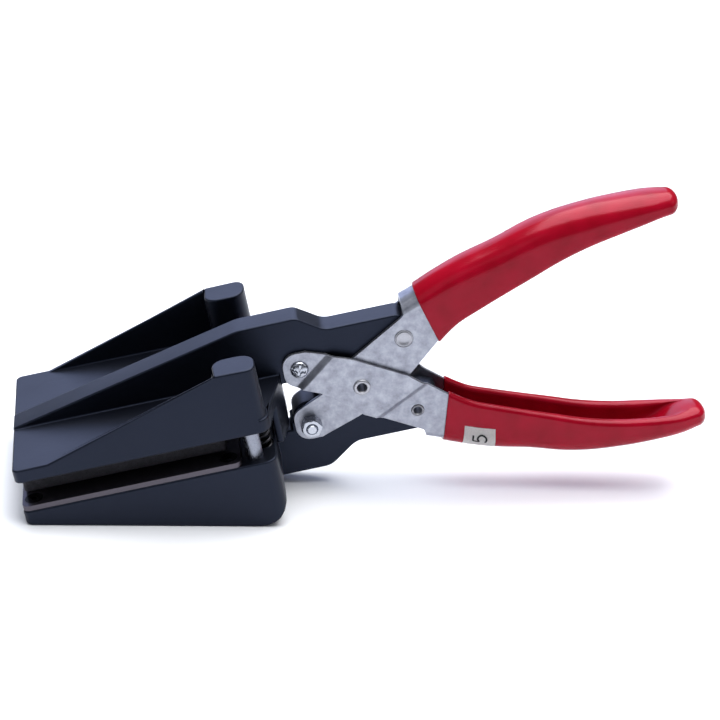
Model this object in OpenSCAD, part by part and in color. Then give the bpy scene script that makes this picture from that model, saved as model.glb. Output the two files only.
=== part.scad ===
// Plier-type die punch: two cast jaws kept parallel by guide pins, closed by a
// scissor-linked pair of pressed-steel handles with dipped grips.
// Everything is drawn in the jaw frame (x from nose to grips, y across, z square to the
// die plate, z = 0 on the plate's upper face) and set down on the lower jaw's flat base.

/* [Jaws] */
// Width of both jaws
jaw_w = 75; // [70:0.5:80]
// Length of the jaws along their sides
jaw_len = 95; // [92:0.5:98]
// Length of the jaws on the centre line
jaw_mid_len = 101.7; // [100:0.1:102]
// Thickness of the upper jaw's plate
plate_t = 5.4; // [4:0.1:7]
// Clear height between the die plate and the upper jaw, at rest
mouth_h = 10.2; // [9:0.1:12]
// Depth of the lower jaw's wedge at its nose, below the die plate's upper face
nose_depth = 7.4; // [6:0.1:9]
// Angle between the base and the die plate
tilt = 14.2; // [10:0.1:16]
// Height of the guide bosses above the upper jaw's plate
boss_h = 21.2; // [16:0.1:24]
// Thickness of the thin rib along each side of the upper jaw
side_rib_t = 2; // [1.5:0.1:3]

/* [Tooling] */
// Length of the punched piece
cut_l = 45; // [35:1:50]
// Width of the punched piece
cut_w = 35; // [30:1:45]
// Length of the ejector pad
pad_l = 76.5; // [60:0.5:78]
// Width of the ejector pad
pad_w = 56; // [48:0.5:60]
// Height left for paper under the pad
paper_gap = 1; // [0.5:0.1:2]
// Clearance between punch and die all round
cut_gap = 0.06; // [0.03:0.01:0.2]
// Thickness of the die plate
die_t = 2; // [1.5:0.1:3]
// Length of the die plate
die_l = 82.3; // [80:0.1:84]
// Diameter of the guide pins
guide_d = 6; // [5:0.1:7]

/* [Linkage] */
// Distance from the centre rivet to each front pivot, along the jaws
front_dx = 21.6; // [20:0.1:23]
// Distance from the centre rivet to each front pivot, across the jaws
front_dz = 11.8; // [11:0.1:13]
// Distance from the centre rivet to each rear pin, along the jaws
rear_dx = 19; // [18:0.1:20]
// Distance from the centre rivet to each rear pin, across the jaws
rear_dz = 15.6; // [15:0.1:17]
// How far the rear pins run along their slots
slot_run = 2; // [1.8:0.1:3]
// Thickness of both jaw arms
arm_t = 11; // [9:0.1:12]
// Thickness of the handles' steel sheet
sheet_t = 1.6; // [1.2:0.1:2]
// Diameter of the pivot screws
pivot_d = 4; // [4:0.1:5]
// Diameter of the solid rear pin
pin_d = 5; // [4:0.1:5.5]

/* [Grips] */
// Thickness of the dipped coat
coat_t = 1.2; // [0.8:0.1:1.6]
// Half width of the grips at their widest
grip_half = 9.9; // [9:0.1:10.5]

/* [Hidden] */
$fn = 48;

half_w = jaw_w / 2;
top_z = mouth_h + plate_t;
boss_z = top_z + boss_h;
base_slope = tan(tilt);
run = 0.05;                        // radial running clearance of the guide pins and pivots
slack = 0.15;                      // radial clearance at the open pivots of the linkage
bite = 0.02;                       // how far cutters run past a face

// linkage points in the jaw frame
mid_x = 131.2;
mid_z = 5.1;
low_pivot = [mid_x - front_dx, mid_z - front_dz];
high_pivot = [mid_x - front_dx, mid_z + front_dz];
high_pin = [mid_x + rear_dx, mid_z + rear_dz];
low_pin = [mid_x + rear_dx, mid_z - rear_dz];
arm_gap = 0.2;
in_y = arm_t / 2 + arm_gap;        // inner face of a cheek that lies against an arm
out_y = in_y + sheet_t;
mid_in = out_y + arm_gap;          // inner face of the lower handle's cheek where it is joggled out
mid_out = mid_in + sheet_t;

guide_x = 87.5;
guide_y = 31;
spring_x = 90.9;
spring_y = 22.9;
spring_room = 4;                   // radius of the springs' pockets
bush_d = 9;
die_screw_at = [[4.6, -31.5], [77.6, -31.5], [4.6, 31.5], [77.6, 31.5]];
punch_x = 40;                      // middle of the punch and of the die's window

// the part's place in the row frame: base on z = 0, middle of its box on x = 0
set_x = -129.075;
set_z = nose_depth * cos(tilt);

// ---- geometry helpers ----

function unit(v) = v / norm(v);

// points of an arc of radius r that rounds the corner p between a and b
function corner(a, p, b, r, n = 6) =
    let (u = unit(a - p), v = unit(b - p), h = acos(u * v) / 2,
         c = p + unit(u + v) * r / sin(h), s = p + u * r / tan(h) - c, e = p + v * r / tan(h) - c,
         a0 = atan2(s[1], s[0]), turn = (atan2(e[1], e[0]) - a0 + 540) % 360 - 180)
    [for (i = [0:n]) c + r * [cos(a0 + turn * i / n), sin(a0 + turn * i / n)]];

// outline from corners [x, y, radius]
function rounded(p) =
    let (n = len(p))
    [for (i = [0:n - 1])
        let (q = [p[i][0], p[i][1]], a = p[(i + n - 1) % n], b = p[(i + 1) % n])
        each (len(p[i]) > 2 && p[i][2] > 0 ? corner([a[0], a[1]], q, [b[0], b[1]], p[i][2]) : [q])];

// half outline in x and distance from the centre line, made whole on both sides
function both_sides(p) = concat([for (q = p) [q[0], -q[1], q[2]]],
    [for (i = [len(p) - 1:-1:0]) [p[i][0], p[i][1], p[i][2]]]);

module jaw_frame() {
    translate([set_x, 0, set_z]) rotate([0, -tilt, 0]) children();
}

// side outline in x and z, as thick as y0 to y1
module side(outline, y0, y1) {
    translate([0, y1, 0]) rotate([90, 0, 0]) linear_extrude(y1 - y0) polygon(outline);
}

// the same on both sides of the middle
module both_cheeks(outline, y0, y1) {
    side(outline, y0, y1);
    side(outline, -y1, -y0);
}

// round bar across the tool at [x, z]
module cross_bar(at, r, y0, y1) {
    translate([at[0], y0, at[1]]) rotate([-90, 0, 0]) cylinder(h = y1 - y0, r = r);
}

module plan(outline, z0, z1) {
    translate([0, 0, z0]) linear_extrude(z1 - z0) polygon(outline);
}

module mirrored_z() {
    translate([0, 0, mid_z]) mirror([0, 0, 1]) translate([0, 0, -mid_z]) children();
}

// ---- outlines ----

// the upper jaw seen from above: square nose, rear edge bowed out towards the arm
jaw_plan = rounded(both_sides([
    [0, half_w, 2.5], [jaw_len, half_w, 5], [jaw_len + 2.2, 25, 0], [jaw_mid_len, 8, 3]]));

// the lower jaw's block ends square, just in front of the upper jaw's rear apron
block_len = jaw_len + 0.5;
block_plan = rounded(both_sides([[0, half_w, 2.5], [block_len, half_w, 5]]));

// the upper jaw's centre rib and arm, seen from the side
high_arm = rounded([[0, mouth_h + 1], [0, top_z + 0.6], [90, 37, 20], [112, 37.2, 5], [122, 30.2, 8],
    [149.6, 30.2, 6], [158.8, 24.5, 6], [158.8, 15, 3], [154, 12.8, 3], [122, 12.8, 4],
    [117, 11.2, 3], [101, 11.2], [96, mouth_h + 1]]);

// the lower jaw's arm with the stop lobe over its pivot
low_arm = rounded([[90, -9], [101.8, -5.8], [103.4, -5.8, 0], [103.4, 1.9, 6.5], [112.8, 1.9, 3.5],
    [117.3, -2.6, 2], [154, -2.6, 3], [158.8, -5, 3], [158.8, -14, 6], [149.6, -19.4, 6],
    [125, -19.4, 8], [114, -27.6, 8], [90, -27.6]]);

// the handles' pressed sheet, drawn for the upper handle: the outer edge that carries the web
web_edge = [[151.6, 34.8], [157.5, 37.2], [165, 40.6], [175, 44.1], [190, 48.6], [203, 52.9],
    [215, 55.1], [230, 56.1], [242, 55.6], [250, 53.6]];

// whole side outline: front lobe, round the open edge to the end, back along the web
sheet_side = rounded(concat(
    [[103.4, -1.4, 5], [103.5, -13.6, 5.5], [113, -13.3, 4], [129.3, -7.4, 20],
        [148.8, 4.2, 12], [162.6, 16.7, 4], [171, 23.1], [186, 29.6], [198, 34.7], [213, 40.8],
        [226, 44.6], [240, 46.9], [250, 48.6]],
    [for (i = [9:-1:0]) web_edge[i]],
    [[151.2, 29.6, 1], [130, 17, 10], [117, 5, 10]]));

// what is cut out between the two cheeks: all but the web
between_cheeks = concat([[148, 31.2]], [for (p = web_edge) p + [0.6, -1.9]],
    [[262, 50], [262, -40], [90, -40], [90, 60], [140, 60]]);

// the dipped coat over the channel
coat_outer = [[156.6, 38.5, 1], [162, 40.9], [175, 45.6], [190, 49.8], [203, 54.1, 0], [215, 56.4],
    [230, 57.4], [244, 57], [255, 56.3, 4], [260.1, 52.4, 3], [259.7, 46.3, 2]];
coat_inner = [[250, 46.2], [240, 45.7], [226, 43.4], [213, 39.6], [198, 33.5], [186, 28.4],
    [171, 21.9], [163.4, 15.8, 1]];
coat_side = rounded(concat(coat_outer, coat_inner));
coat_plan = rounded(both_sides([[150, 8.3, 0], [185, 8.7, 0], [218, grip_half, 0],
    [244, grip_half, 6], [260.5, 5.2, 5]]));

// ---- shared hardware ----

module nut(at, y0, y1) {
    difference() {
        translate([at[0], y0, at[1]]) rotate([-90, 0, 0]) rotate([0, 0, 30]) cylinder(h = y1 - y0, d = 8.08, $fn = 6);
        cross_bar(at, pivot_d / 2, y0 - 1, y1 + 1);
    }
}

// screw across both cheeks with its head on the side given by turn (-1 near, 1 far)
module pivot_screw(at, turn, head_face, end_face) {
    cross_bar(at, pivot_d / 2, min(turn * head_face, -turn * end_face), max(turn * head_face, -turn * end_face));
    difference() {
        cross_bar(at, 3.5, min(turn * head_face, turn * (head_face + 1.9)), max(turn * head_face, turn * (head_face + 1.9)));
        translate([at[0], turn * (head_face + 1.4), at[1]]) {
            cube([4, 1.4, 0.9], center = true);
            cube([0.9, 1.4, 4], center = true);
        }
    }
}

module coil(x, y, z0, z1, r, wire, turns) {
    steps = turns * 16;
    ring = 8;
    pts = [for (i = [0:steps]) let (a = i * 360 / 16, z = z0 + wire + (z1 - z0 - 2 * wire) * i / steps)
        for (k = [0:ring - 1]) let (b = k * 360 / ring)
            [x + (r + wire * cos(b)) * cos(a), y + (r + wire * cos(b)) * sin(a), z + wire * sin(b)]];
    faces = concat([[for (k = [0:ring - 1]) k]],
        [for (i = [0:steps - 1]) for (k = [0:ring - 1])
            [i * ring + k, (i + 1) * ring + k, (i + 1) * ring + (k + 1) % ring, i * ring + (k + 1) % ring]],
        [[for (k = [ring - 1:-1:0]) steps * ring + k]]);
    polyhedron(points = pts, faces = faces, convexity = 8);
}

// ---- lower jaw group ----

module lower_jaw() {
    color([0.12, 0.13, 0.17]) jaw_frame() difference() {
        union() {
            intersection() {
                plan(block_plan, -45, -die_t);
                side(rounded([[-5, 5], [-0.4, 5], [-0.4, -nose_depth + 0.4 * base_slope, 1.2],
                    [block_len, -nose_depth - block_len * base_slope, 9.5], [block_len, 5]]), -60, 60);
            }
            side(low_arm, -arm_t / 2, arm_t / 2);
        }
        // chute below the die's window
        translate([punch_x - cut_l / 2 - 1, -cut_w / 2 - 1, -60]) cube([cut_l + 2, cut_w + 2, 61]);
        // room over the arm for the upper jaw's rear apron
        translate([block_len, -arm_t, -9]) cube([jaw_mid_len + 0.4 - block_len, 2 * arm_t, 20]);
        for (s = [-1, 1]) {
            translate([guide_x, s * guide_y, -16]) cylinder(h = 20, d = guide_d);
            translate([spring_x, s * spring_y, -6]) cylinder(h = 20, r = spring_room);
        }
        for (p = die_screw_at) translate([p[0], p[1], -6.2]) cylinder(h = 10, d = 3);
        cross_bar(low_pivot, pivot_d / 2 + run, -20, 20);
        // slot of the lower handle's rear pin
        side(slot(low_pin, -1, 4.5), -20, 20);
    }
}

// slot outline that starts at a rear pin and follows its path
function slot(at, sense, d) =
    let (r = d / 2 + slack, end = at + [slot_run + 0.1, sense * slot_run * 0.09], n = 10,
         a = atan2(end[1] - at[1], end[0] - at[0]))
    concat([for (i = [0:n]) at - [0.15, 0] + r * [cos(a + 90 + 180 * i / n), sin(a + 90 + 180 * i / n)]],
        [for (i = [0:n]) end + [0.15, 0] + r * [cos(a - 90 + 180 * i / n), sin(a - 90 + 180 * i / n)]]);

module die_plate() {
    color([0.34, 0.32, 0.30]) jaw_frame() difference() {
        plan(rounded(both_sides([[0.2, half_w - 0.5, 2.5], [die_l, half_w - 0.5, 2.5]])), -die_t, 0);
        translate([punch_x - cut_l / 2 - cut_gap, -cut_w / 2 - cut_gap, -5])
            cube([cut_l + 2 * cut_gap, cut_w + 2 * cut_gap, 10]);
        for (p = die_screw_at) translate([p[0], p[1], 0]) {
            translate([0, 0, -5]) cylinder(h = 10, d = 3.4);
            translate([0, 0, -1.9]) cylinder(h = 1.95, r1 = 1.7, r2 = 3.65);
        }
    }
}

module die_screw(i) {
    color([0.10, 0.10, 0.12]) jaw_frame() translate([die_screw_at[i][0], die_screw_at[i][1], 0]) difference() {
        union() {
            translate([0, 0, -6]) cylinder(h = 5, d = 3);
            translate([0, 0, -1.85]) cylinder(h = 1.8, r1 = 1.65, r2 = 3.5);
        }
        translate([0, 0, 0]) cylinder(h = 2.4, d = 2.3, center = true, $fn = 6);
    }
}

module guide_pin(s) {
    color([0.75, 0.75, 0.78]) jaw_frame() translate([guide_x, s * guide_y, -16]) {
        cylinder(h = 44, d = guide_d);
        translate([0, 0, 44]) cylinder(h = 1, d1 = guide_d, d2 = guide_d - 1.6);
    }
}

// ---- upper jaw group ----

module boss_outline(s) {
    polygon(rounded([[79, s * half_w, 1], [jaw_len - 0.3, s * half_w, 4], [jaw_len - 0.3, s * 24.4, 6],
        [79, s * 24.4, 5]]));
}

module upper_jaw() {
    color([0.14, 0.15, 0.20]) jaw_frame() difference() {
        union() {
            plan(jaw_plan, mouth_h, top_z);
            side(high_arm, -arm_t / 2, arm_t / 2);
            for (s = [-1, 1]) {
                side([[13.2, top_z - 1], [13.2, top_z], [79, boss_z - 0.5], [81, boss_z - 0.5], [81, top_z - 1]],
                    min(s * half_w, s * (half_w - side_rib_t)), max(s * half_w, s * (half_w - side_rib_t)));
                translate([0, 0, mouth_h + 1]) linear_extrude(boss_z - mouth_h - 1) boss_outline(s);
            }
            // apron that hangs behind the lower jaw's block
            intersection() {
                plan(jaw_plan, -5, mouth_h + 1);
                translate([block_len + 0.5, -20, -5]) cube([20, 40, mouth_h + 6]);
            }
        }
        for (s = [-1, 1]) {
            translate([guide_x, s * guide_y, mouth_h - 1]) cylinder(h = 24.2, d = bush_d);
            translate([guide_x, s * guide_y, mouth_h]) cylinder(h = 24.8, d = guide_d + 0.6);
            translate([spring_x, s * spring_y, mouth_h - 1]) cylinder(h = 3.6, r = spring_room);
        }
        for (s = [-1, 1]) translate([punch_x + s * 14, 0, mouth_h - 1]) cylinder(h = 9, d = 4);
        cross_bar(high_pivot, pivot_d / 2 + run, -20, 20);
        side(slot(high_pin, 1, pin_d), -20, 20);
    }
}

module punch() {
    color([0.55, 0.56, 0.58]) jaw_frame() difference() {
        translate([punch_x - cut_l / 2, -cut_w / 2, paper_gap + 0.3])
            cube([cut_l, cut_w, mouth_h - paper_gap - 0.3]);
        for (s = [-1, 1]) translate([punch_x + s * 14, 0, 0]) {
            cylinder(h = 20, d = 4.4);
            cylinder(h = 6, d = 7.4);
        }
    }
}

module punch_screw(s) {
    color([0.10, 0.10, 0.12]) jaw_frame() translate([punch_x + s * 14, 0, 0]) difference() {
        union() {
            translate([0, 0, 2]) cylinder(h = 4, d = 7);
            translate([0, 0, 5]) cylinder(h = 12.8, d = 4);
        }
        translate([0, 0, 1]) cylinder(h = 3, d = 3.4, $fn = 6);
    }
}

module ejector_pad() {
    color([0.06, 0.06, 0.07]) jaw_frame() difference() {
        plan(rounded(both_sides([[1.2, pad_w / 2, 1.5], [1.2 + pad_l, pad_w / 2, 1.5]])), paper_gap, mouth_h);
        translate([punch_x - cut_l / 2 - 0.5, -cut_w / 2 - 0.5, -1]) cube([cut_l + 1, cut_w + 1, 20]);
    }
}

module guide_bush(s) {
    color([0.72, 0.58, 0.34]) jaw_frame() translate([guide_x, s * guide_y, mouth_h]) difference() {
        cylinder(h = 23, d = bush_d);
        translate([0, 0, -1]) cylinder(h = 30, r = guide_d / 2 + run);
    }
}

module return_spring(s) {
    color([0.28, 0.28, 0.30]) jaw_frame()
        coil(spring_x, s * spring_y, -6, mouth_h + 2.6, 3.1, 0.6, 6);
}

// ---- handles ----

// the sheet folded into a channel, with both cheeks against the arms
module channel() {
    difference() {
        side(sheet_side, -out_y, out_y);
        side(between_cheeks, -in_y, in_y);
    }
}

// steel sheet of a handle; spread moves the middle of the cheeks outwards
module handle_sheet(spread) {
    difference() {
        if (spread) {
            // ends against the arm, middle outside the other handle, steps between
            intersection() {
                channel();
                end_zones(0);
            }
            difference() {
                both_cheeks(sheet_side, mid_in, mid_out);
                end_zones(0);
            }
            difference() {
                both_cheeks(sheet_side, in_y, mid_out);
                step_cutter();
            }
        } else {
            channel();
        }
        for (p = [[low_pivot, pivot_d], [[mid_x, mid_z], spread ? 4.5 : 4.5 + 4 * slack], [high_pin, spread ? 4.5 : pin_d]])
            cross_bar(p[0], p[1] / 2, -20, 20);
    }
}

// the two ends of a joggled cheek, out to the middle of each step; grow widens them
module end_zones(grow) {
    front = grow * [0.634, 0.774];
    rear = -grow * [0.457, 0.889];
    side([[90, -30], [130, -30], [130, -16.9] + front, [95, 11.7] + front, [90, 15]], -20, 20);
    side([[130, 22.8] + rear, [172, 1.2] + rear, [275, 20], [275, 70], [130, 60]], -20, 20);
}

// everything but the two steps
module step_cutter() {
    end_zones(-0.9);
    difference() {
        translate([90, -30, -40]) cube([200, 60, 120]);
        end_zones(0.9);
    }
}

module grip() {
    difference() {
        intersection() {
            side(coat_side, -12, 12);
            plan(coat_plan, -20, 80);
        }
        handle_sheet(false);
        // hollow between the coated walls
        side(concat([for (p = web_edge) p + [1.2, -3]], [[246, 30], [150, 0]]),
            -in_y + coat_t, in_y - coat_t);
    }
}

module handle_upper() {
    color([0.70, 0.71, 0.75]) jaw_frame() handle_sheet(false);
}

module handle_lower() {
    color([0.70, 0.71, 0.75]) jaw_frame() mirrored_z() handle_sheet(true);
}

module grip_upper() {
    color([0.78, 0.05, 0.12]) jaw_frame() grip();
}

module grip_lower() {
    color([0.78, 0.05, 0.12]) jaw_frame() mirrored_z() grip();
}

module slot_pin_upper() {
    color([0.66, 0.66, 0.70]) jaw_frame() {
        cross_bar(high_pin, pin_d / 2, -out_y, out_y);
        for (s = [-1, 1]) cross_bar(high_pin, 3.6, min(s * out_y, s * (out_y + 0.7)), max(s * out_y, s * (out_y + 0.7)));
    }
}

module slot_pin_lower() {
    color([0.60, 0.60, 0.62]) jaw_frame() difference() {
        cross_bar(low_pin, 2.25, -out_y - 0.5, out_y + 0.5);
        cross_bar(low_pin, 1.6, -20, 20);
    }
}

module centre_rivet() {
    color([0.60, 0.60, 0.62]) jaw_frame() difference() {
        union() {
            cross_bar([mid_x, mid_z], 2.25, -mid_out - 0.7, mid_out + 0.7);
            for (s = [-1, 1])
                cross_bar([mid_x, mid_z], 3.3, min(s * mid_out, s * (mid_out + 0.7)), max(s * mid_out, s * (mid_out + 0.7)));
        }
        cross_bar([mid_x, mid_z], 1.7, -20, 20);
    }
}

module lower_pivot_screw() {
    color([0.72, 0.72, 0.75]) jaw_frame() pivot_screw(low_pivot, 1, out_y, out_y + 5.4);
}

module lower_pivot_nut() {
    color([0.78, 0.79, 0.82]) jaw_frame() nut(low_pivot, -out_y - 4.8, -out_y);
}

module upper_pivot_screw() {
    color([0.72, 0.72, 0.75]) jaw_frame() pivot_screw(high_pivot, -1, out_y, out_y + 5.4);
}

module upper_pivot_nut() {
    color([0.78, 0.79, 0.82]) jaw_frame() nut(high_pivot, out_y, out_y + 4.8);
}

// paper label wrapped on the near side of the lower grip
module label() {
    color([0.95, 0.95, 0.93]) jaw_frame() mirrored_z()
        side([[167.3, 31.8], [179.5, 36.1], [177.9, 41.1], [165.7, 36.8]], -8.95, -8.75);
}

lower_jaw();
die_plate();
die_screw(0);  // die_screw_1
die_screw(1);  // die_screw_2
die_screw(2);  // die_screw_3
die_screw(3);  // die_screw_4
guide_pin(-1);  // guide_pin_near
guide_pin(1);  // guide_pin_far
upper_jaw();
punch();
punch_screw(-1);  // punch_screw_front
punch_screw(1);  // punch_screw_rear
ejector_pad();
guide_bush(-1);  // guide_bush_near
guide_bush(1);  // guide_bush_far
return_spring(-1);  // return_spring_near
return_spring(1);  // return_spring_far
handle_upper();
grip_upper();
slot_pin_upper();
lower_pivot_screw();
lower_pivot_nut();
handle_lower();
grip_lower();
slot_pin_lower();
upper_pivot_screw();
upper_pivot_nut();
centre_rivet();
label();
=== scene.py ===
import math

import bmesh
import bpy
from mathutils import Matrix, Vector


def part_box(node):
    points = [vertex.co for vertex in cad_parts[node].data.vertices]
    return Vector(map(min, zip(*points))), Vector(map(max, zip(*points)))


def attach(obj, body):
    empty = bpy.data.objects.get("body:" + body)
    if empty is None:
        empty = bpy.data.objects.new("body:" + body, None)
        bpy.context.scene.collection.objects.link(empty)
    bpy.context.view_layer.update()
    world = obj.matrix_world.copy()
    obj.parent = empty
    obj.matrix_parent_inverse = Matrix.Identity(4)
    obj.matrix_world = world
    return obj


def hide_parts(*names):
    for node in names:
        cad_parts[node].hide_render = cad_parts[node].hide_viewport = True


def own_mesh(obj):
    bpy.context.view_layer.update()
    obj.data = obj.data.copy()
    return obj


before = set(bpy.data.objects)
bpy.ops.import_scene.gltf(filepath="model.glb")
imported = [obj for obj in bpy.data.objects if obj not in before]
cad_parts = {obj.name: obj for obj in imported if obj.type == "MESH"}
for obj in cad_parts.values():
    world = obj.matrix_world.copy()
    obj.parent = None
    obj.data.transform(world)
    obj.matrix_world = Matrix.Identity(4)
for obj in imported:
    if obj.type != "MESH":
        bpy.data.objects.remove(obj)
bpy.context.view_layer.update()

bl_info = {
    "name": "Plier-type die punch",
    "version": (1, 0, 0),
    "blender": (4, 5, 0),
    "location": "View3D > Sidebar > Die punch",
    "description": "Builds the cast jaws, die set, linkage and dipped grips of a hand punch",
    "category": "Object",
}

# ---- the tool's own frame -------------------------------------------------------------
# Lengths are millimetres in the jaw frame: x from the nose to the grips, y across the tool,
# z square to the die plate with 0 on the plate's upper face. The jaw frame is tilted and set
# down so that the lower jaw's base lies on the floor.
TILT = math.radians(14.2)
SET_X = -129.075
SET_Z = 7.4 * math.cos(TILT)
TO_ROW = (Matrix.Scale(0.001, 4) @ Matrix.Translation((SET_X, 0, SET_Z))
          @ Matrix.Rotation(-TILT, 4, "Y"))
TO_JAW = TO_ROW.inverted()

MOUTH_H = 10.2                  # from the die plate to the upper jaw's underside
OUT_Y = 7.3                     # outside of a cheek that lies against an arm
MID_OUT = 9.1                   # outside of the lower handle's cheeks where they are joggled out
MID_X, MID_Z = 131.2, 5.1       # centre rivet
LOW_PIVOT = (109.6, -6.7)
HIGH_PIVOT = (109.6, 16.9)
HIGH_PIN = (150.2, 20.7)
LOW_PIN = (150.2, -10.5)
GUIDE = (87.5, 31.0)
SPRING = (90.9, 22.9)
DIE_SCREWS = ((4.6, -31.5), (77.6, -31.5), (4.6, 31.5), (77.6, 31.5))
PUNCH_X = 40.0
PUNCH_SCREW_OUT = 14.0          # from the punch's middle to each of its screws

GUIDE_R = 3.0
GUIDE_ENDS = (-16.0, 29.0)      # foot and top of the guide pins
BUSH_BORE, BUSH_R = 3.05, 4.5
BUSH_ENDS = (MOUTH_H, 33.2)
WIRE_R, COIL_R = 0.6, 3.1
SPRING_TURNS = 6
SPRING_FOOT, SPRING_RISE = -5.3, 17.4

# the camera, in the row frame
CAMERA_AT = (-0.11524, -0.80944, 0.46643)
CAMERA_FORWARD = (0.12198, 0.88307, -0.45310)
CAMERA_RIGHT = (0.99244, -0.10199, 0.06842)
CAMERA_LENS = 121.275

# the upper handle's web, seen from the side: outer line, and what lies inside it by the sheet
WEB = ((151.6, 34.8), (157.5, 37.2), (165, 40.6), (175, 44.1), (190, 48.6), (203, 52.9),
       (215, 55.1), (230, 56.1), (242, 55.6), (250, 53.6))
WEB_INSIDE = (0.6, -1.9)
# joggles of the lower handle's cheeks: a point on each line and the way to the raised middle
JOGGLES = (((95, 11.7), (0.634, 0.774)), ((130, 22.8), (-0.457, -0.889)))


# ---- mesh helpers ---------------------------------------------------------------------

def cad_copy(node):
    """A merged copy of a CAD node's mesh, in jaw-frame millimetres."""
    bm = bmesh.new()
    bm.from_mesh(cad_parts[node].data)
    bm.transform(TO_JAW)
    bmesh.ops.remove_doubles(bm, verts=bm.verts, dist=0.002)
    bmesh.ops.dissolve_degenerate(bm, edges=bm.edges, dist=0.002)
    bmesh.ops.dissolve_limit(bm, angle_limit=math.radians(0.6), verts=bm.verts, edges=bm.edges,
                             use_dissolve_boundaries=False)
    return bm


def soften(bm, width, over=25.0, segments=2, pick=None, clamp=True):
    """Bevels every edge sharper than `over` degrees that `pick` takes."""
    edges = [e for e in bm.edges if e.is_manifold and e.calc_face_angle(0.0) > math.radians(over)
             and (pick is None or pick(e.verts[0].co, e.verts[1].co))]
    bmesh.ops.bevel(bm, geom=edges, offset=width, offset_type="OFFSET", segments=segments,
                    profile=0.5, affect="EDGES", clamp_overlap=clamp, material=-1)


def finish(bm, name, material, body, replaces=(), sharp=32.0, weighted=True, inside=None):
    """Places a piece in the row frame, within the box of node `inside`, and shows it on its body."""
    bm.transform(TO_ROW)
    if inside:
        low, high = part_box(inside)
        for v in bm.verts:
            v.co = Vector([min(max(c, a), b) for c, a, b in zip(v.co, low, high)])
    bm.normal_update()
    for f in bm.faces:
        f.smooth = True
    for e in bm.edges:
        e.smooth = e.is_manifold and e.calc_face_angle(0.0) < math.radians(sharp)
    mesh = bpy.data.meshes.new(name)
    bm.to_mesh(mesh)
    bm.free()
    piece = bpy.data.objects.new(name, mesh)
    bpy.context.scene.collection.objects.link(piece)
    mesh.materials.append(material)
    if weighted:
        modifier = piece.modifiers.new("even shading", "WEIGHTED_NORMAL")
        modifier.keep_sharp = True
        modifier.weight = 80
    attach(piece, body)
    if replaces:
        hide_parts(*replaces)
    return piece


def across(bm, verts, at, y, way=1):
    """Lays what was made about Z across the tool at (x, z), its top towards +y or, for -1, -y."""
    bmesh.ops.transform(bm, matrix=Matrix.Translation((at[0], y, at[1]))
                        @ Matrix.Rotation(math.radians(-90 * way), 4, "X"), verts=verts)


def turned(bm, profile, steps=48):
    """Spins an outline of (radius, height) corners about Z; it starts and ends on the axis or closes."""
    before = set(bm.verts)
    verts = [bm.verts.new((r, 0.0, z)) for r, z in profile]
    edges = [bm.edges.new(pair) for pair in zip(verts, verts[1:])]
    if profile[0][0] > 0 and profile[-1][0] > 0:
        edges.append(bm.edges.new((verts[-1], verts[0])))
    bmesh.ops.spin(bm, geom=verts + edges, cent=(0, 0, 0), axis=(0, 0, 1), dvec=(0, 0, 0),
                   angle=math.tau, steps=steps, use_merge=True, use_duplicate=False)
    made = [v for v in bm.verts if v not in before]
    bmesh.ops.remove_doubles(bm, verts=made, dist=1e-4)
    made = [v for v in bm.verts if v not in before]
    bmesh.ops.recalc_face_normals(bm, faces=list({f for v in made for f in v.link_faces}))
    return made


def smoothstep(u):
    """0 below 0, 1 above 1 and a smooth S between."""
    u = min(max(u, 0.0), 1.0)
    return u * u * (3 - 2 * u)


def smooth_path(points, t):
    """A point on a Catmull-Rom curve through `points`, t from 0 to 1."""
    n = len(points) - 1
    i = min(int(t * n), n - 1)
    u = t * n - i
    p0 = Vector(points[max(i - 1, 0)])
    p1, p2 = Vector(points[i]), Vector(points[i + 1])
    p3 = Vector(points[min(i + 2, n)])
    return 0.5 * (2 * p1 + (p2 - p0) * u + (2 * p0 - 5 * p1 + 4 * p2 - p3) * u * u
                  + (3 * p1 - p0 - 3 * p2 + p3) * u ** 3)


def mirror_handle(bm):
    """Turns a piece drawn for the upper handle into the lower handle's."""
    for v in bm.verts:
        v.co.z = 2 * MID_Z - v.co.z
    bmesh.ops.reverse_faces(bm, faces=bm.faces)


# ---- materials ------------------------------------------------------------------------

def linear(code):
    """sRGB hex to linear RGBA."""
    parts = [int(code[i:i + 2], 16) / 255 for i in (0, 2, 4)]
    return tuple(c / 12.92 if c <= 0.04045 else ((c + 0.055) / 1.055) ** 2.4 for c in parts) + (1.0,)


def per_mm(size):
    """Noise scale for features of that many millimetres, on coordinates in metres."""
    return 1000.0 / size


def node(tree, kind, inputs=None, **settings):
    """Adds a shader node with its settings, values and links."""
    made = tree.nodes.new(kind)
    for key, value in settings.items():
        setattr(made, key, value)
    for key, value in (inputs or {}).items():
        if isinstance(value, bpy.types.NodeSocket):
            tree.links.new(value, made.inputs[key])
        else:
            made.inputs[key].default_value = value
    return made


def ramp(tree, fac, stops):
    """Colour of a factor that runs through (position, colour) stops."""
    made = node(tree, "ShaderNodeValToRGB", {"Fac": fac})
    elements = made.color_ramp.elements
    while len(elements) < len(stops):
        elements.new(0.5)
    for element, (at, colour) in zip(elements, stops):
        element.position = at
        element.color = colour
    return made.outputs["Color"]


def grey(v):
    return (v, v, v, 1.0)


def new_material(name):
    material = bpy.data.materials.new(name)
    material.use_nodes = True
    tree = material.node_tree
    tree.nodes.clear()
    place = node(tree, "ShaderNodeTexCoord").outputs["Object"]
    return material, tree, place


def shade(tree, inputs):
    shader = node(tree, "ShaderNodeBsdfPrincipled", inputs)
    node(tree, "ShaderNodeOutputMaterial", {"Surface": shader.outputs["BSDF"]})


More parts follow.
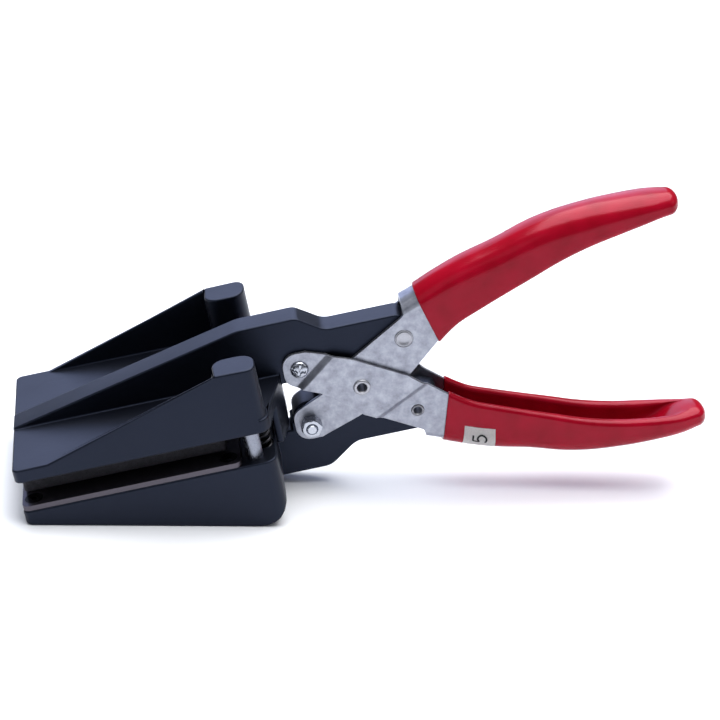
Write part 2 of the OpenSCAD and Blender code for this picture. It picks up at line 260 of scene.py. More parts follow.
def stoved_black():
    # Die-cast aluminium under a stoved satin black enamel: a faint orange peel about 2 mm
    # across and a fine grain that break the sheen into a satin.
    material, tree, place = new_material("stoved_black_enamel")
    peel = node(tree, "ShaderNodeTexNoise", {"Vector": place, "Scale": per_mm(2.2), "Detail": 2.0})
    grain = node(tree, "ShaderNodeTexNoise", {"Vector": place, "Scale": per_mm(0.35), "Detail": 3.0})
    cloud = node(tree, "ShaderNodeTexNoise", {"Vector": place, "Scale": per_mm(22.0), "Detail": 3.0})
    colour = ramp(tree, cloud.outputs["Fac"], ((0.3, linear(COLOURS.enamel_deep)),
                                               (0.7, linear(COLOURS.enamel))))
    rough = ramp(tree, cloud.outputs["Fac"], ((0.3, grey(0.36)), (0.7, grey(0.43))))
    bump1 = node(tree, "ShaderNodeBump", {"Height": peel.outputs["Fac"], "Strength": 0.10,
                                          "Distance": 0.0002})
    bump2 = node(tree, "ShaderNodeBump", {"Height": grain.outputs["Fac"], "Strength": 0.10,
                                          "Distance": 0.00005, "Normal": bump1.outputs["Normal"]})
    shade(tree, {"Base Color": colour, "Roughness": rough, "Normal": bump2.outputs["Normal"],
                 "Specular Tint": linear("BFD0FF"), "Specular IOR Level": 0.34, "IOR": 1.52})
    return material


def tumbled_nickel():
    # Pressed mild steel, vibratory tumbled and dull nickel plated: cloudy light grey mottle a
    # few millimetres across with small darker bruises.
    material, tree, place = new_material("tumbled_nickel_steel")
    cloud = node(tree, "ShaderNodeTexNoise", {"Vector": place, "Scale": per_mm(3.6), "Detail": 5.0,
                                              "Roughness": 0.62})
    fine = node(tree, "ShaderNodeTexNoise", {"Vector": place, "Scale": per_mm(0.7), "Detail": 4.0,
                                             "Roughness": 0.7})
    colour = ramp(tree, cloud.outputs["Fac"], ((0.32, linear(COLOURS.nickel_dark)),
                                               (0.5, linear(COLOURS.nickel)),
                                               (0.7, linear(COLOURS.nickel_light))))
    rough = ramp(tree, fine.outputs["Fac"], ((0.3, grey(0.34)), (0.7, grey(0.52))))
    bump = node(tree, "ShaderNodeBump", {"Height": fine.outputs["Fac"], "Strength": 0.25,
                                         "Distance": 0.00006})
    shade(tree, {"Base Color": colour, "Roughness": rough, "Metallic": 1.0,
                 "Normal": bump.outputs["Normal"]})
    return material


def metal(name, colour, rough, feature=0.8, spread=0.12, bump=0.12):
    # Plain machined or plated metal: its sheen varies a little, as handling leaves it.
    material, tree, place = new_material(name)
    fine = node(tree, "ShaderNodeTexNoise", {"Vector": place, "Scale": per_mm(feature),
                                             "Detail": 4.0, "Roughness": 0.6})
    tone = ramp(tree, fine.outputs["Fac"], ((0.3, tuple(c * 0.8 for c in linear(colour)[:3]) + (1.0,)),
                                            (0.7, linear(colour))))
    roughness = ramp(tree, fine.outputs["Fac"], ((0.3, grey(rough)), (0.7, grey(rough + spread))))
    dents = node(tree, "ShaderNodeBump", {"Height": fine.outputs["Fac"], "Strength": bump,
                                          "Distance": 0.00005})
    shade(tree, {"Base Color": tone, "Roughness": roughness, "Metallic": 1.0,
                 "Normal": dents.outputs["Normal"]})
    return material


def dipped_pvc():
    # Plastisol PVC dipped over the handles: wet-looking gloss over a deep red with slow waves
    # left by the dip and a slight skin texture.
    material, tree, place = new_material("dipped_red_pvc")
    sag = node(tree, "ShaderNodeTexNoise", {"Vector": place, "Scale": per_mm(9.0), "Detail": 2.0})
    skin = node(tree, "ShaderNodeTexNoise", {"Vector": place, "Scale": per_mm(0.6), "Detail": 2.0})
    colour = ramp(tree, sag.outputs["Fac"], ((0.3, linear(COLOURS.grip_deep)),
                                             (0.7, linear(COLOURS.grip))))
    bump1 = node(tree, "ShaderNodeBump", {"Height": sag.outputs["Fac"], "Strength": 0.18,
                                          "Distance": 0.0006})
    bump2 = node(tree, "ShaderNodeBump", {"Height": skin.outputs["Fac"], "Strength": 0.04,
                                          "Distance": 0.00005, "Normal": bump1.outputs["Normal"]})
    shade(tree, {"Base Color": colour, "Roughness": 0.2, "Normal": bump2.outputs["Normal"],
                 "IOR": 1.5, "Specular IOR Level": 0.32,
                 "Specular Tint": linear("FFB4C6")})
    return material


def pad_rubber():
    # Cellular rubber ejector pad: dull, with an open grain just under a millimetre across.
    material, tree, place = new_material("cellular_black_rubber")
    cells = node(tree, "ShaderNodeTexVoronoi", {"Vector": place, "Scale": per_mm(0.8)})
    dust = node(tree, "ShaderNodeTexNoise", {"Vector": place, "Scale": per_mm(1.6), "Detail": 5.0})
    colour = ramp(tree, dust.outputs["Fac"], ((0.35, linear(COLOURS.rubber)),
                                              (0.75, linear(COLOURS.rubber_dust))))
    bump = node(tree, "ShaderNodeBump", {"Height": cells.outputs["Distance"], "Strength": 0.6,
                                         "Distance": 0.0002})
    shade(tree, {"Base Color": colour, "Roughness": 0.8, "Normal": bump.outputs["Normal"]})
    return material


def label_paper():
    # Uncoated white label stock with faint fibres.
    material, tree, place = new_material("white_label_paper")
    fibre = node(tree, "ShaderNodeTexNoise", {"Vector": place, "Scale": per_mm(0.5), "Detail": 4.0})
    colour = ramp(tree, fibre.outputs["Fac"], ((0.3, linear("E6E4E2")), (0.7, linear("F6F5F3"))))
    bump = node(tree, "ShaderNodeBump", {"Height": fibre.outputs["Fac"], "Strength": 0.1,
                                         "Distance": 0.00003})
    shade(tree, {"Base Color": colour, "Roughness": 0.6, "Normal": bump.outputs["Normal"]})
    return material


def ink():
    # Felt marker soaked into the label: near black, unevenly dense, with no gloss.
    material, tree, place = new_material("black_marker_ink")
    fibre = node(tree, "ShaderNodeTexNoise", {"Vector": place, "Scale": per_mm(0.4), "Detail": 3.0})
    colour = ramp(tree, fibre.outputs["Fac"], ((0.3, linear("111115")), (0.7, linear("24242C"))))
    shade(tree, {"Base Color": colour, "Roughness": 0.55})
    return material


MATERIALS = {}


def material(name):
    """Each finish is made once, when a piece first asks for it."""
    makers = {
        "enamel": stoved_black,
        "nickel": tumbled_nickel,
        "grip": dipped_pvc,
        "rubber": pad_rubber,
        "paper": label_paper,
        "ink": ink,
        # hardened die steel, ground: a dull grey line round the lower jaw
        "die": lambda: metal("blued_die_steel", COLOURS.die_steel, 0.34, 1.4, 0.2),
        # ground tool steel: a plain bright grey
        "tool": lambda: metal("ground_tool_steel", "9A9A9C", 0.3, 0.5),
        # centreless ground silver steel: sharp bright streaks down the pins
        "guide": lambda: metal("ground_guide_steel", COLOURS.guide_steel, 0.22, 0.9, 0.2),
        # sintered bronze, oily: brown and soft in its sheen
        "bronze": lambda: metal("sintered_bronze", "9C7A4A", 0.45, 0.4),
        # oil-tempered spring wire: dark with a thin bright line
        "spring": lambda: metal("oiled_spring_wire", "3A3A3E", 0.3, 0.5),
        # satin rivets: even, softer than the screws
        "rivet": lambda: metal("satin_rivet_steel", COLOURS.rivet, 0.33, 0.5, 0.2),
        # bright zinc plate: small hard highlights on the heads
        "zinc": lambda: metal("bright_zinc_plate", COLOURS.zinc, 0.16, 0.8, 0.14),
        # black oxide: near black with a faint oily sheen
        "oxide": lambda: metal("black_oxide_steel", "1C1C1F", 0.35, 0.5),
    }
    if name not in MATERIALS:
        MATERIALS[name] = makers[name]()
    return MATERIALS[name]


# ---- settings -------------------------------------------------------------------------

class PunchSizes(bpy.types.PropertyGroup):
    """Sizes that a user may change, in millimetres"""
    casting_edge: bpy.props.FloatProperty(name="Casting edge", default=0.7, min=0.2, max=1.5,
                                          description="Rounding of the castings' outer edges")
    grip_wall: bpy.props.FloatProperty(name="Grip wall", default=3.9, min=3.2, max=4.4,
                                       description="Steel and both coats together at the grips' lips")


class PunchColours(bpy.types.PropertyGroup):
    """Finishes' colours, as sRGB hex"""
    enamel: bpy.props.StringProperty(name="Enamel", default="080A10", description="Stoved enamel")
    enamel_deep: bpy.props.StringProperty(name="Deep enamel", default="06070C",
                                          description="Stoved enamel where it lies thick")
    nickel: bpy.props.StringProperty(name="Nickel", default="979AA5", description="Nickel plate")
    nickel_dark: bpy.props.StringProperty(name="Dark nickel", default="868893",
                                          description="Bruises in the nickel plate")
    nickel_light: bpy.props.StringProperty(name="Light nickel", default="A8ABB5",
                                           description="Bright patches in the nickel plate")
    grip: bpy.props.StringProperty(name="Grip", default="9C0520", description="Red of the grips")
    grip_deep: bpy.props.StringProperty(name="Deep grip", default="8A0418",
                                        description="Red of the grips where the coat is thick")
    rubber: bpy.props.StringProperty(name="Rubber", default="18171E", description="Ejector pad")
    rubber_dust: bpy.props.StringProperty(name="Dusty rubber", default="28262E",
                                          description="Worn grain of the ejector pad")
    die_steel: bpy.props.StringProperty(name="Die steel", default="5C5860",
                                        description="Blued die plate")
    guide_steel: bpy.props.StringProperty(name="Guide steel", default="8A8E9A",
                                          description="Ground guide pins")
    rivet: bpy.props.StringProperty(name="Rivets", default="B0B1B8", description="Rivets and pins")
    zinc: bpy.props.StringProperty(name="Zinc", default="B4B8C2", description="Screws and nuts")


SIZES = None
COLOURS = None


# ---- castings -------------------------------------------------------------------------

def off_bores(a, b):
    """True for an edge that is no rim of a bore, pocket or slot."""
    for p in (a, b):
        y = abs(p.y)
        in_guide = math.hypot(p.x - GUIDE[0], y - GUIDE[1]) < BUSH_R + 0.3 and p.z < 35.5
        in_spring = math.hypot(p.x - SPRING[0], y - SPRING[1]) < 4.3 and p.z < 13.2
        in_die_screw = any(math.hypot(p.x - x, p.y - sy) < 1.8 for x, sy in DIE_SCREWS)
        in_punch_screw = math.hypot(abs(p.x - PUNCH_X) - PUNCH_SCREW_OUT, y) < 2.3 and p.z < 19
        if in_guide or in_spring or in_die_screw or in_punch_screw:
            return False
        if y < 6 and any(math.hypot(p.x - x, p.z - z) < r for (x, z), r in (
                (LOW_PIVOT, 2.4), (HIGH_PIVOT, 2.4), (HIGH_PIN, 5.4), (LOW_PIN, 5.2))):
            return False
    return True


def make_casting(node_name):
    """A jaw with its outer edges rounded; edges too short to carry that are taken out first."""
    bm = cad_copy(node_name)
    shortest = 0.32
    short = [e for e in bm.edges if e.calc_length() < shortest
             and off_bores(e.verts[0].co, e.verts[1].co)]
    bmesh.ops.dissolve_degenerate(bm, edges=short, dist=shortest)
    soften(bm, SIZES.casting_edge, over=28, segments=3, pick=off_bores, clamp=False)
    finish(bm, f"{node_name}_casting", material("enamel"), node_name, [node_name],
           inside=node_name)


class PUNCH_OT_upper_jaw(bpy.types.Operator):
    """Upper jaw casting with its ribs, guide bosses, rear apron and arm"""
    bl_idname = "punch.upper_jaw"
    bl_label = "Upper jaw"

    def execute(self, context):
        make_casting("upper_jaw")
        return {"FINISHED"}


class PUNCH_OT_lower_jaw(bpy.types.Operator):
    """Lower jaw casting with its wedge base, stop lobe and arm"""
    bl_idname = "punch.lower_jaw"
    bl_label = "Lower jaw"

    def execute(self, context):
        make_casting("lower_jaw")
        return {"FINISHED"}


# ---- die set --------------------------------------------------------------------------

class PUNCH_OT_die_set(bpy.types.Operator):
    """Die plate with its screws, punch with its screws, and the ejector pad"""
    bl_idname = "punch.die_set"
    bl_label = "Die set"

    def execute(self, context):
        bm = cad_copy("die_plate")
        soften(bm, 0.25, over=28, segments=2)
        finish(bm, "die_plate_ground", material("die"), "lower_jaw", ["die_plate"])
        for i in range(4):
            bm = cad_copy(f"die_screw_{i + 1}")
            soften(bm, 0.12, over=28, segments=2)
            finish(bm, f"die_screw_{i + 1}_finished", material("oxide"), "lower_jaw",
                   [f"die_screw_{i + 1}"])
        bm = cad_copy("ejector_pad")
        soften(bm, 0.4, over=28, segments=2)
        pad = finish(bm, "ejector_pad_rubber", material("rubber"), "upper_jaw",
                     ["ejector_pad"])
        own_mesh(pad)
        bm = cad_copy("punch")
        soften(bm, 0.12, over=28, segments=1)
        finish(bm, "punch_ground", material("tool"), "upper_jaw", ["punch"])
        for end in ("front", "rear"):
            bm = cad_copy(f"punch_screw_{end}")
            soften(bm, 0.3, over=28, segments=2)
            finish(bm, f"punch_screw_{end}_finished", material("oxide"), "upper_jaw",
                   [f"punch_screw_{end}"])
        return {"FINISHED"}


def make_guide_pin(x, y):
    foot, top = GUIDE_ENDS
    bm = bmesh.new()
    turned(bm, ((0, foot), (GUIDE_R, foot), (GUIDE_R, top - 1.4), (GUIDE_R - 0.15, top - 0.7),
                (GUIDE_R - 0.8, top), (0, top)))
    bmesh.ops.translate(bm, vec=(x, y, 0), verts=bm.verts)
    return bm


def make_guide_bush(x, y):
    foot, top = BUSH_ENDS
    bm = bmesh.new()
    turned(bm, ((BUSH_BORE, foot), (BUSH_R - 0.2, foot), (BUSH_R, foot + 0.2), (BUSH_R, top),
                (BUSH_BORE, top)))
    bmesh.ops.translate(bm, vec=(x, y, 0), verts=bm.verts)
    return bm


def make_spring(x, y):
    steps = SPRING_TURNS * 28
    bm = bmesh.new()
    wire = bmesh.ops.create_circle(bm, cap_ends=False, segments=12, radius=WIRE_R)["verts"]
    bmesh.ops.rotate(bm, verts=wire, cent=(0, 0, 0), matrix=Matrix.Rotation(math.radians(90), 3, "X"))
    bmesh.ops.translate(bm, verts=wire, vec=(COIL_R, 0, SPRING_FOOT))
    bmesh.ops.spin(bm, geom=bm.verts[:] + bm.edges[:], cent=(0, 0, 0), axis=(0, 0, 1),
                   dvec=(0, 0, SPRING_RISE / steps), angle=SPRING_TURNS * math.tau, steps=steps,
                   use_merge=False)
    bmesh.ops.holes_fill(bm, edges=[e for e in bm.edges if e.is_boundary], sides=0)
    bmesh.ops.recalc_face_normals(bm, faces=bm.faces)
    bmesh.ops.translate(bm, vec=(x, y, 0), verts=bm.verts)
    return bm


class PUNCH_OT_guides(bpy.types.Operator):
    """Guide pins, their bushes and the return springs"""
    bl_idname = "punch.guides"
    bl_label = "Guides and springs"

    def execute(self, context):
        for side, name in ((-1, "near"), (1, "far")):
            x, y = GUIDE[0], side * GUIDE[1]
            finish(make_guide_pin(x, y), f"guide_pin_{name}_ground", material("guide"), "lower_jaw",
                   [f"guide_pin_{name}"])
            finish(make_guide_bush(x, y), f"guide_bush_{name}_turned", material("bronze"),
                   "upper_jaw", [f"guide_bush_{name}"])
            x, y = SPRING[0], side * SPRING[1]
            spring = finish(make_spring(x, y), f"return_spring_{name}_coiled", material("spring"),
                            "upper_jaw", [f"return_spring_{name}"], weighted=False)
            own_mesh(spring)
        return {"FINISHED"}


# ---- handles --------------------------------------------------------------------------

def arch_web(bm, half=7.3, rise=4.5):
    """Bends the flat web between the cheeks into an arch across the handle."""
    for y in (1.6, 3.2, 4.5, 5.2, 6.3, 6.9):
        for side in (-1, 1):
            bmesh.ops.bisect_plane(bm, geom=bm.verts[:] + bm.edges[:] + bm.faces[:], dist=1e-4,
                                   plane_co=(0, side * y, 0), plane_no=(0, 1, 0))
    inside = [(x + WEB_INSIDE[0], z + WEB_INSIDE[1]) for x, z in WEB]
    lines = [Vector(p) for p in (*WEB, *inside)]
    for v in bm.verts:
        flat = Vector((v.co.x, v.co.z))
        on_web = any((flat - p).length < 0.05 for p in lines)
        start = v.co.x < 152 and 32 < v.co.z < 34.8
        if on_web or start:
            v.co.z -= rise * (1 - math.sqrt(1 - min(abs(v.co.y) / half, 1) ** 2))


def joggle(bm, out, width=1.5, cuts=8):
    """Sets the middle of the cheeks out by `out` millimetres with a smooth step on each line."""
    for (x, z), (nx, nz) in JOGGLES:
        for i in range(cuts + 1):
            away = width * (2 * i / cuts - 1)
            bmesh.ops.bisect_plane(bm, geom=bm.verts[:] + bm.edges[:] + bm.faces[:], dist=1e-4,
                                   plane_co=(x + nx * away, 0, z + nz * away), plane_no=(nx, 0, nz))
    for v in bm.verts:
        share = 1.0
        for (x, z), (nx, nz) in JOGGLES:
            away = (v.co.x - x) * nx + (v.co.z - z) * nz
            share *= smoothstep((away + width) / (2 * width))
        v.co.y += math.copysign(out * share, v.co.y)


class PUNCH_OT_handles(bpy.types.Operator):
    """Pressed steel handles: folded channels, the lower one with its cheeks joggled out"""
    bl_idname = "punch.handles"
    bl_label = "Handles"

    def execute(self, context):
        for name, body in (("handle_upper", "upper_handle"), ("handle_lower", "lower_handle")):
            bm = cad_copy("handle_upper")
            arch_web(bm)
            if name == "handle_lower":
                joggle(bm, MID_OUT - OUT_Y)
            soften(bm, 0.22, over=40, segments=2, clamp=False,
                   pick=lambda a, b: (a - b).length > 0.5 and min(a.x, b.x) < 200)
            if name == "handle_lower":
                mirror_handle(bm)
            finish(bm, f"{name}_pressed", material("nickel"), body, [name])
        return {"FINISHED"}


# ---- grips ----------------------------------------------------------------------------

# the coat's outer (web side) and inner (open side) lines and its half width, drawn for the
# upper grip from its front edge to the start of its rounded tip
GRIP_OUTER = ((157.0, 38.2), (166, 42.2), (177, 46.2), (190, 49.7), (203, 53.9), (215, 56.2),
              (228, 57.2), (240, 57.1), (249, 56.7), (255.6, 55.8))
GRIP_INNER = ((163.0, 15.9), (171, 21.9), (180, 26.0), (190, 30.2), (201, 34.6), (212, 39.0),
              (224, 42.6), (236, 45.0), (247, 46.2), (255.4, 46.5))
GRIP_HALF = (8.3, 8.45, 8.7, 9.0, 9.5, 9.8, 9.9, 9.8, 9.0, 7.2)
GRIP_NOSE = 4.4                 # length of that tip
# half the room between the steel cheeks' coated insides, and the cavity's floor under the crown
CHEEK_INSIDE = 5.1
GRIP_FLOOR = 4.6


def coat_frame(t):
    """Crown of the coat at t, the way down to its lips, its depth and its half width."""
    outer = smooth_path([(x, 0, z) for x, z in GRIP_OUTER], t)
    inner = smooth_path([(x, 0, z) for x, z in GRIP_INNER], t)
    half = smooth_path([(w, 0, 0) for w in GRIP_HALF], t).x
    return outer, (inner - outer).normalized(), (inner - outer).length, half


def crown_rise(t, depth):
    """How far down the coat's rounded web side reaches."""
    return min(6.5 + 1.5 * smoothstep(t / 0.4), depth * 0.5)


def grip_section(t):
    """The coat's closed U outline at one place along the handle."""
    outer, down, depth, half = coat_frame(t)
    gap = min(half - SIZES.grip_wall, CHEEK_INSIDE)
    lip = (half - gap) / 2
    rise = crown_rise(t, depth)
    corner = 2.6
    bottom = GRIP_FLOOR + corner
    line = [(half * math.sin(math.radians(a)), rise * (1 - math.cos(math.radians(a))))
            for a in range(0, 91, 10)]
    line += [(half, rise + (depth - lip - rise) * k / 3) for k in (1, 2)]
    lips = [(half - lip + lip * math.cos(math.radians(a)),
             depth - lip + lip * math.sin(math.radians(a))) for a in range(0, 181, 30)]
    cavity = [(gap, bottom + (depth - lip - bottom) * 0.5)]
    cavity += [(gap - corner + corner * math.cos(math.radians(a)),
                bottom - corner * math.sin(math.radians(a))) for a in range(0, 91, 30)]
    cavity += [(0, GRIP_FLOOR)]
    # the cavity runs out into a solid, rounded underside before the tip
    closed = smoothstep((t - 0.74) / 0.24)
    for y, d in lips + cavity:
        solid = depth - 2.6 * (1 - math.sqrt(1 - min(y / half, 1) ** 2))
        line.append((y, d * (1 - closed) + solid * closed))
    ring = line + [(-y, d) for y, d in reversed(line[1:-1])]
    return [outer + down * d + Vector((0, y, 0)) for y, d in ring]


def make_grip(lower):
    """Sweeps the coat's outline along the handle and rounds its nose."""
    bm = bmesh.new()
    points = grip_section(0.0)
    verts = [bm.verts.new(p) for p in points]
    first = [bm.edges.new((verts[i], verts[(i + 1) % len(verts)])) for i in range(len(verts))]
    stations, nose = 60, 7
    loop = first
    outer, down, depth, half = coat_frame(1.0)
    middle = outer + down * depth / 2
    ahead = Vector((-down.z, 0, down.x))
    last = grip_section(1.0)
    for k in range(1, stations + nose):
        if k <= stations:
            target = grip_section(k / stations)
        else:
            turn = math.radians(90 * (k - stations) / nose)
            target = [middle + (p - middle) * math.cos(turn) + ahead * GRIP_NOSE * math.sin(turn)
                      for p in last]
        made = bmesh.ops.extrude_edge_only(bm, edges=loop)["geom"]
        loop = [g for g in made if isinstance(g, bmesh.types.BMEdge)]
        for v in (g for g in made if isinstance(g, bmesh.types.BMVert)):
            v.co = target[min(range(len(points)), key=lambda i: (points[i] - v.co).length_squared)]
        points = target
    for ring in (first, loop):
        bmesh.ops.contextual_create(bm, geom=ring)
    bmesh.ops.recalc_face_normals(bm, faces=bm.faces)
    soften(bm, 0.5, over=50, segments=2, pick=lambda a, b: max(a.x, b.x) < 164, clamp=False)
    if lower:
        mirror_handle(bm)
    return bm


class PUNCH_OT_grips(bpy.types.Operator):
    """Dipped red grips over the handles' channels"""
    bl_idname = "punch.grips"
    bl_label = "Grips"

    def execute(self, context):
        for name, body in (("grip_upper", "upper_handle"), ("grip_lower", "lower_handle")):
            bm = make_grip(name == "grip_lower")
            finish(bm, f"{name}_dipped", material("grip"), body, [name], sharp=60)
        return {"FINISHED"}


def on_coat(u, v, lift):
    """A point above the label's place: u along the grip, v from under the crown up the near side."""
    t = 0.09 + 0.125 * u
    outer, down, depth, half = coat_frame(t)
    rise = crown_rise(t, depth)
    s = 0.5 + 0.78 * v
    turn = math.radians(90 * min(s, 1))
    side = max(s - 1, 0) * (depth - rise)
    y = (half + lift) * math.sin(turn)
    d = rise - (rise + lift) * math.cos(turn) + side
    return outer + down * d + Vector((0, -y, 0))


def strip(bm, grid):
    """Faces over rows of (u, v, lift) points on the coat."""
    rows = [[bm.verts.new(on_coat(u, v, lift)) for u, v, lift in row] for row in grid]
    for a, b in zip(rows, rows[1:]):
        for i in range(len(a) - 1):
            bm.faces.new((a[i], a[i + 1], b[i + 1], b[i]))


def thicken(bm, thickness):
    """Gives the label or its ink a thickness and moves it to the lower grip."""
    bmesh.ops.solidify(bm, geom=bm.faces[:], thickness=thickness)
    bmesh.ops.recalc_face_normals(bm, faces=bm.faces)
    mirror_handle(bm)


# pen strokes of a five that lies on its side: bowl, stem and bar, (right, up) from 0 to 1
DIGIT = (((0.2, 0.5), (0.45, 0.62), (0.72, 0.56), (0.85, 0.34), (0.7, 0.1), (0.42, 0.02),
          (0.12, 0.1)),
         ((0.2, 0.5), (0.22, 0.72), (0.25, 0.95)),
         ((0.25, 0.95), (0.5, 0.95), (0.8, 0.95)))
PEN_STEPS = 30
PEN_HALF = 0.03


class PUNCH_OT_label(bpy.types.Operator):
    """White paper label that wraps round the lower grip's near side, with a hand-written digit"""
    bl_idname = "punch.label"
    bl_label = "Label"

    def execute(self, context):
        bm = bmesh.new()
        strip(bm, [[(i / 14, j / 12, 0.1) for i in range(15)] for j in range(13)])
        thicken(bm, 0.08)
        finish(bm, "paper_label", material("paper"), "lower_handle", ["label"],
               weighted=False)

        bm = bmesh.new()
        for stroke in DIGIT:
            placed = [(0.74 - 0.46 * b, 0.26 + 0.52 * a, 0) for a, b in stroke]
            fine = [smooth_path(placed, k / PEN_STEPS) for k in range(PEN_STEPS + 1)]
            grid = []
            for k, p in enumerate(fine):
                way = (fine[min(k + 1, PEN_STEPS)] - fine[max(k - 1, 0)]).normalized()
                off = Vector((-way.y, way.x, 0)) * PEN_HALF
                grid.append([(p.x + off.x * m, p.y + off.y * m * 1.2, 0.22) for m in (-1, 0, 1)])
            strip(bm, grid)
        thicken(bm, 0.02)
        finish(bm, "label_digit", material("ink"), "lower_handle", weighted=False)
        return {"FINISHED"}


# ---- pivots and rivets ----------------------------------------------------------------

def pan_head_screw(at, way):
    """Cross-recessed pan head outside one cheek and its shank through to the nut's end."""
    bm = bmesh.new()
    crown = [(0.24 * k, 1.9 - 0.085 * (0.24 * k) ** 2) for k in range(12)]
    edge = [(2.85, 1.18), (3.15, 0.88), (3.38, 0.5), (3.45, 0.12), (3.4, 0)]
    shank = [(2, 0), (2, -19.4), (1.6, -20.0), (0, -20.0)]
    made = turned(bm, crown + edge + shank, 96)
    for v in made:
        r = math.hypot(v.co.x, v.co.y)
        turn = math.degrees(math.atan2(v.co.y, v.co.x)) + 20
        off_arm = abs((turn + 45) % 90 - 45)
        arm = r * math.sin(math.radians(off_arm))
        in_cross = r < 1.0 or r < 2.3 and arm < 0.52
        if v.co.z > 1 and in_cross:
            v.co.z -= 1.5 - 0.35 * r
    across(bm, made, at, way * OUT_Y, way)
    return bm


def hex_nut(at, way, height=4.8, flats=7.0):
    """Hexagon nut with turned chamfers and a countersunk bore."""
    bm = bmesh.new()
    steps = 48
    face_r = flats / 2 - 0.1

    def hexagon(i):
        turn = (360 * i / steps) % 60 - 30
        return flats / 2 / math.cos(math.radians(turn))

    rings = []
    for r, z in ((1.98, 0.0), (face_r, 0.0), (None, 0.0), (None, height), (face_r, height),
                 (2.35, height), (1.98, height - 0.35)):
        ring = []
        for i in range(steps):
            radius = hexagon(i) if r is None else r
            level = z
            if r is None:
                drop = max(radius - face_r, 0) * 0.577
                level = z + drop if z == 0 else z - drop
            turn = math.tau * i / steps
            ring.append(bm.verts.new((radius * math.cos(turn), radius * math.sin(turn), level)))
        rings.append(ring)
    for a, b in zip(rings, rings[1:] + rings[:1]):
        for i in range(steps):
            bm.faces.new((a[i], a[(i + 1) % steps], b[(i + 1) % steps], b[i]))
    bmesh.ops.recalc_face_normals(bm, faces=bm.faces)
    across(bm, bm.verts[:], at, way * OUT_Y, way)
    return bm


RIVET_SHANK = 2.24


def tube_rivet(at, face, rim, bore, tall):
    """Tubular rivet with a rolled rim at both ends."""
    bm = bmesh.new()
    end = face + tall
    half = [(bore, end - 1.2), (bore + 0.05, end - 0.5), (bore + 0.35, end - 0.08)]
    if rim > RIVET_SHANK + 0.1:
        half += [(bore + 0.75, end), (rim - 0.45, end - 0.06), (rim - 0.12, end - 0.3),
                 (rim, face + 0.02), (RIVET_SHANK, face - 0.1)]
    else:
        half += [(rim - 0.25, end), (rim, end - 0.2), (rim, face - 0.1)]
    profile = half + [(r, -z) for r, z in reversed(half)]
    across(bm, turned(bm, profile), at, 0)
    return bm


def dished_pin(at, face):
    """Solid pin whose ends are lightly dished and stand in a rolled ring."""
    bm = bmesh.new()
    dish = [(0, 0.1), (1.2, 0.14), (2.1, 0.3), (2.5, 0.52), (2.75, 0.55), (2.95, 0.4), (3.0, 0.12)]
    ring = [(3.25, 0.1), (3.5, 0.32), (3.58, 0.1), (3.55, 0.01), (2.5, -0.05)]
    half = [(r, face + out) for r, out in dish + ring]
    profile = half + [(r, -z) for r, z in reversed(half)]
    across(bm, turned(bm, profile), at, 0)
    return bm


class PUNCH_OT_pivots(bpy.types.Operator):
    """Pivot screws, nuts, slot pins and the centre rivet"""
    bl_idname = "punch.pivots"
    bl_label = "Pivots"

    def execute(self, context):
        zinc, rivet = material("zinc"), material("rivet")
        for bm, name, body, slot, look in (
                (pan_head_screw(LOW_PIVOT, 1), "lower_pivot_screw", "upper_handle", "zinc_steel", zinc),
                (hex_nut(LOW_PIVOT, -1), "lower_pivot_nut", "upper_handle", "zinc_steel", zinc),
                (pan_head_screw(HIGH_PIVOT, -1), "upper_pivot_screw", "lower_handle", "zinc_steel", zinc),
                (hex_nut(HIGH_PIVOT, 1), "upper_pivot_nut", "lower_handle", "zinc_steel", zinc),
                (dished_pin(HIGH_PIN, OUT_Y), "slot_pin_upper", "upper_handle", "pin_steel", rivet),
                (tube_rivet(LOW_PIN, OUT_Y, 2.25, 1.45, 0.5), "slot_pin_lower", "lower_handle",
                 "pin_steel", rivet),
                (tube_rivet((MID_X, MID_Z), MID_OUT, 3.3, 1.7, 0.7), "centre_rivet", "lower_handle",
                 "pin_steel", rivet)):
            finish(bm, f"{name}_made", look, body, [name], sharp=38)
        return {"FINISHED"}


# ---- stage ----------------------------------------------------------------------------

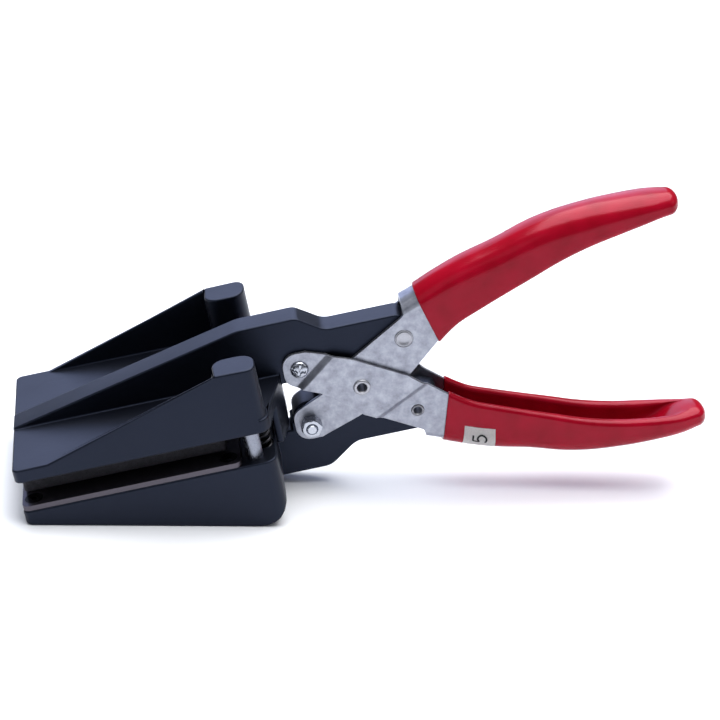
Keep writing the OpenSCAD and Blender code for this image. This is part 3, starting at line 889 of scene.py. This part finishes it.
class PUNCH_OT_stage(bpy.types.Operator):
    """Plain pale floor, soft studio light and the camera"""
    bl_idname = "punch.stage"
    bl_label = "Stage"

    def execute(self, context):
        mesh = bpy.data.meshes.new("floor")
        bm = bmesh.new()
        bmesh.ops.create_grid(bm, x_segments=1, y_segments=1, size=6.0)
        bm.to_mesh(mesh)
        bm.free()
        floor = bpy.data.objects.new("floor", mesh)
        bpy.context.scene.collection.objects.link(floor)
        # Seamless white paper, matt: it keeps only a weak shadow under the tool.
        paper, tree, place = new_material("studio_paper")
        shade(tree, {"Base Color": linear("F4F6FA"), "Roughness": 0.9})
        mesh.materials.append(paper)

        world = bpy.data.worlds.new("studio")
        bpy.context.scene.world = world
        world.use_nodes = True
        background = world.node_tree.nodes["Background"]
        background.inputs["Color"].default_value = linear("EDF1FA")
        background.inputs["Strength"].default_value = 0.16

        # lamps: where, what they look at, size in metres, power in watts and colour
        for name, place, aim, size, power, tint in (
                ("overhead", (0.1, 0.25, 1.5), (0, 0, 0.05), 1.6, 52, "FFFFFF"),
                ("behind", (-0.16, 1.32, 0.75), (0, 0, 0.05), 1.2, 9.5, "C6D4FF"),
                ("front_left", (-1.0, -1.0, 0.9), (-0.05, 0, 0.04), 0.9, 1.5, "F2F5FF"),
                ("right", (1.1, -0.4, 0.9), (0.02, 0, 0.04), 0.8, 1.5, "FFFFFF")):
            lamp = bpy.data.lights.new(name, "AREA")
            lamp.shape = "SQUARE"
            lamp.size = size
            lamp.energy = power
            lamp.color = linear(tint)[:3]
            holder = bpy.data.objects.new(name, lamp)
            holder.location = place
            holder.rotation_euler = (Vector(aim) - Vector(place)).to_track_quat("-Z", "Y").to_euler()
            bpy.context.scene.collection.objects.link(holder)

        eye = bpy.data.cameras.new("camera")
        eye.sensor_width = 36.0
        eye.lens = CAMERA_LENS
        eye.clip_end = 50
        camera = bpy.data.objects.new("camera", eye)
        forward = Vector(CAMERA_FORWARD).normalized()
        right = Vector(CAMERA_RIGHT).normalized()
        up = right.cross(forward).normalized()
        turn = Matrix((right, up, -forward)).transposed().to_4x4()
        camera.matrix_world = Matrix.Translation(CAMERA_AT) @ turn
        bpy.context.scene.collection.objects.link(camera)
        bpy.context.scene.camera = camera
        bpy.context.scene.view_settings.view_transform = "Standard"
        return {"FINISHED"}


# ---- add-on ---------------------------------------------------------------------------

class PUNCH_PT_panel(bpy.types.Panel):
    """Lists the tool's pieces"""
    bl_idname = "PUNCH_PT_panel"
    bl_label = "Die punch"
    bl_space_type = "VIEW_3D"
    bl_region_type = "UI"
    bl_category = "Die punch"

    def draw(self, context):
        for group in (context.scene.punch_sizes, context.scene.punch_colours):
            for key in group.__annotations__:
                self.layout.prop(group, key)
        for operator in OPERATORS:
            self.layout.operator(operator.bl_idname)


OPERATORS = (PUNCH_OT_upper_jaw, PUNCH_OT_lower_jaw, PUNCH_OT_die_set, PUNCH_OT_guides,
             PUNCH_OT_handles, PUNCH_OT_grips, PUNCH_OT_pivots, PUNCH_OT_label, PUNCH_OT_stage)
CLASSES = (PunchSizes, PunchColours) + OPERATORS + (PUNCH_PT_panel,)


def register():
    for cls in CLASSES:
        bpy.utils.register_class(cls)
    bpy.types.Scene.punch_sizes = bpy.props.PointerProperty(type=PunchSizes)
    bpy.types.Scene.punch_colours = bpy.props.PointerProperty(type=PunchColours)


def unregister():
    del bpy.types.Scene.punch_colours
    del bpy.types.Scene.punch_sizes
    for cls in reversed(CLASSES):
        bpy.utils.unregister_class(cls)


def main():
    global SIZES, COLOURS
    register()
    SIZES = bpy.context.scene.punch_sizes
    COLOURS = bpy.context.scene.punch_colours
    bpy.ops.punch.stage()
    bpy.ops.punch.upper_jaw()
    bpy.ops.punch.lower_jaw()
    bpy.ops.punch.die_set()
    bpy.ops.punch.guides()
    bpy.ops.punch.handles()
    bpy.ops.punch.grips()
    bpy.ops.punch.pivots()
    bpy.ops.punch.label()


if __name__ == "__main__":
    main()
